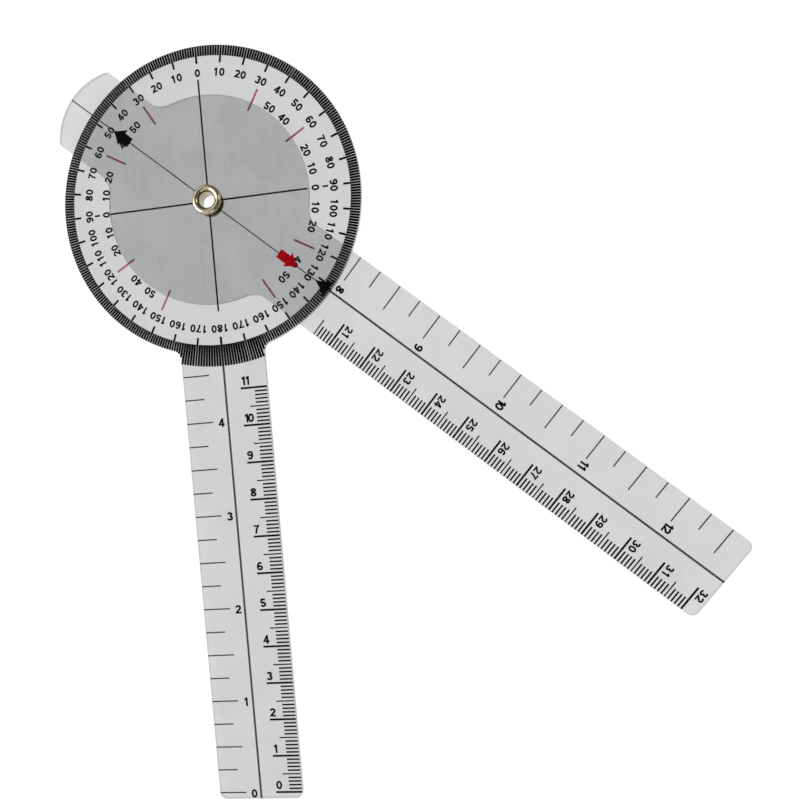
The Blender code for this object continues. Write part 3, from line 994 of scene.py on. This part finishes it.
corners = np.array([(-1, -1), (1, -1), (1, 1), (-1, 1)], float) * TABLE_HALF
corners = np.column_stack([corners, np.full(4, -TABLE_DROP)])
mesh = bpy.data.meshes.new("table_top")
mesh.from_pydata(corners.tolist(), [], [[0, 1, 2, 3]])
table = bpy.data.objects.new("table_top", mesh)
bpy.context.scene.collection.objects.link(table)
paper, _, paper_shader = new_finish("white_paper")
paper_shader.inputs["Base Color"].default_value = (0.12, 0.12, 0.12, 1.0)
paper_shader.inputs["Emission Color"].default_value = (1.0, 1.0, 1.0, 1.0)
paper_shader.inputs["Emission Strength"].default_value = TABLE_GLOW
paper_shader.inputs["Roughness"].default_value = 0.9
paper_shader.inputs["Specular IOR Level"].default_value = 0.1
mesh.materials.append(paper)
table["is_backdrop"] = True

# %% [markdown]
# Light from above comes mostly from one broad panel on the left, and two weak panels soften what
# it leaves dark. Polished brass shows its surroundings more than its own colour, so the sky round
# the scene has bright and dark bands by height, and is brighter on the left: they become the
# rings and the highlight on the eyelet's head. The camera itself sees a plain pale backdrop
# past the table, not the bands.

# %% Lights
def soft_panel(name, place, size, power):
    """An area lamp that faces the middle of the object."""
    lamp = bpy.data.lights.new(name, "AREA")
    lamp.shape = "DISK"
    lamp.size = size
    lamp.energy = power
    panel = bpy.data.objects.new(name, lamp)
    bpy.context.scene.collection.objects.link(panel)
    panel.location = place
    panel.rotation_mode = "QUATERNION"
    panel.rotation_quaternion = (-Vector(place)).to_track_quat("-Z", "Y")


soft_panel("panel_left", place=(-1.6, -0.1, 1.15), size=1.7, power=30.0)
soft_panel("panel_right", place=(1.3, 0.7, 1.4), size=0.8, power=3.0)
soft_panel("panel_front", place=(0.3, -1.6, 1.3), size=0.9, power=3.0)

# %% Sky and backdrop
SKY_BANDS = ((0.0, 0.80), (0.22, 0.80), (0.32, 0.08), (0.60, 0.08), (0.72, 1.40), (0.86, 0.55),
             (1.0, 0.30))    # (upward part of the direction, brightness)
BRIGHT_SIDE = (-0.99, -0.12, 0.0)
SIDE_RANGE = (-0.10, 0.40)   # how far a direction points to the bright side
SIDE_LIGHT = (0.30, 1.50)    # brightness is multiplied by these at the two ends
BACKDROP = (1.2, 1.2, 1.2)   # what the camera sees past the table's edge
SKY_STRENGTH = 0.85

world = bpy.data.worlds.new("studio")
bpy.context.scene.world = world
world.use_nodes = True
sky = world.node_tree
all_round = add_node(sky, "ShaderNodeTexCoord").outputs["Generated"]
direction = add_node(sky, "ShaderNodeSeparateXYZ", Vector=all_round)
bands = add_node(sky, "ShaderNodeValToRGB", Fac=direction.outputs["Z"])
ramp = bands.color_ramp.elements
while len(ramp) < len(SKY_BANDS):
    ramp.new(0.5)
for element, (place, brightness) in zip(ramp, SKY_BANDS):
    element.position = place
    element.color = (brightness, brightness, brightness, 1.0)
sideways = add_node(sky, "ShaderNodeVectorMath", {"operation": "DOT_PRODUCT"}, _0=all_round,
                    _1=BRIGHT_SIDE)
side_light = remapped(sky, sideways.outputs["Value"], *SIDE_RANGE, *SIDE_LIGHT)
lit = add_node(sky, "ShaderNodeVectorMath", {"operation": "SCALE"}, _0=bands.outputs["Color"],
               Scale=side_light)
seen_directly = add_node(sky, "ShaderNodeLightPath").outputs["Is Camera Ray"]
background = sky.nodes["Background"]
background.inputs["Strength"].default_value = SKY_STRENGTH
sky.links.new(mixed_colour(sky, seen_directly, lit.outputs[0], BACKDROP),
              background.inputs["Color"])

# %% [markdown]
# The camera stands above the object, to the right of the hinge, and looks almost straight down
# and a little to the left, so that the eyelet and its bore are seen at a slight slant.

# %% Camera
CAMERA_FROM_HINGE = Vector((58.08, -60.70, 195.48)) * MM
LOOKS_AT_FROM_HINGE = Vector((28.79, -66.21, 0.0)) * MM
ROLL = math.radians(-4.84)
LENS, SENSOR = 33.75, 36.0   # millimetres
FRAME_SHIFT = (0.08, 0.05)   # share of the frame's width

hinge_point = Vector((HINGE[0] * MM, HINGE[1] * MM, DIAL_TOP * MM))
camera_data = bpy.data.cameras.new("camera")
camera_data.lens = LENS
camera_data.sensor_width = SENSOR
camera_data.shift_x, camera_data.shift_y = FRAME_SHIFT
camera = bpy.data.objects.new("camera", camera_data)
bpy.context.scene.collection.objects.link(camera)
backward = (CAMERA_FROM_HINGE - LOOKS_AT_FROM_HINGE).normalized()
level = Vector((0, 1, 0)).cross(backward).normalized()
turned_level = Quaternion(backward, ROLL) @ level
axes = Matrix((turned_level, backward.cross(turned_level), backward)).transposed()
camera.matrix_world = Matrix.Translation(hinge_point + CAMERA_FROM_HINGE) @ axes.to_4x4()
bpy.context.scene.camera = camera
bpy.context.scene.view_settings.view_transform = "Standard"

# %% [markdown]
# ## Sizes before and after
#
# The looks must not change the object's size, so how far their box goes past the model box is
# printed.

# %% Boxes before and after
LOOKS_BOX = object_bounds()
growth = [round((seen - made) / MM, 3) for seen, made in zip(LOOKS_BOX[1], CAD_BOX[1])]
print("looks box goes past the model box by, in mm:", growth)
